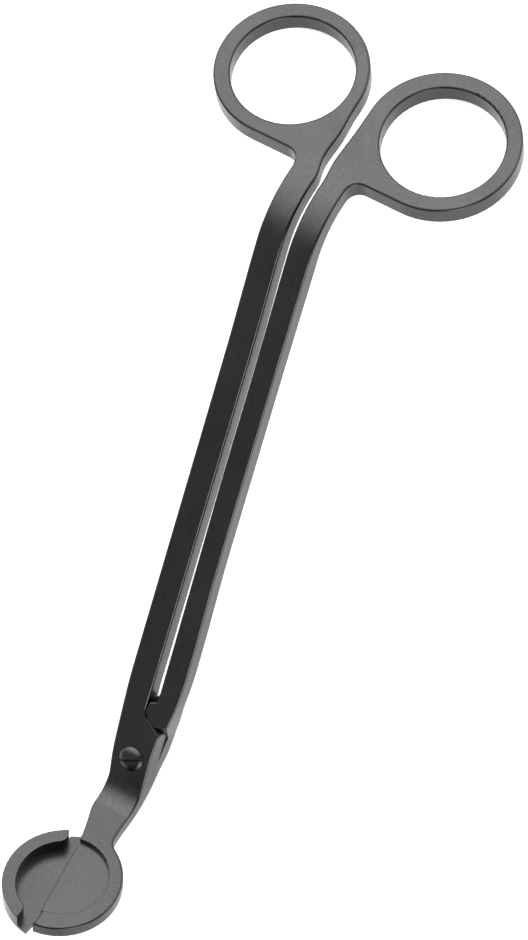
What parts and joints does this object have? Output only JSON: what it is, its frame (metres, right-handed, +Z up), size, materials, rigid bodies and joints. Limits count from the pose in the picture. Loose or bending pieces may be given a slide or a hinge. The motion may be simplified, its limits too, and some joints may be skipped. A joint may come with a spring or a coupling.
{
  "type": "wick trimmer",
  "caption": "Wick trimmer: two bent steel arms crossing on one pivot screw, each with a finger loop, with round overlapping jaws and a debris tray.",
  "frame": {"origin": "on the table, under the middle of the tool as it lies on its back, closed", "axes": "+Y from the jaws to the finger loops, +Z up from the table, +X to the right loop, seen from the front"},
  "size_m": [0.0599, 0.176, 0.0318],
  "materials": {
    "arm_steel": "satin dark nickel plating with a fine brushed grain",
    "pivot_steel": "satin dark nickel plating",
    "washer_steel": "plain spring steel"
  },
  "bodies": {
    "rear": {"rear_arm": "arm_steel", "pivot_screw": "pivot_steel", "pivot_washer": "washer_steel", "pivot_nut": "pivot_steel"},
    "front": {"front_arm": "arm_steel"}
  },
  "joints": [
    {"name": "pivot", "type": "hinge", "parent": "rear", "child": "front", "pos_m": [0, -0.05638, 0.00791], "axis": [0, -0.1867, 0.9824], "range_deg": [0, 45]}
  ]
}
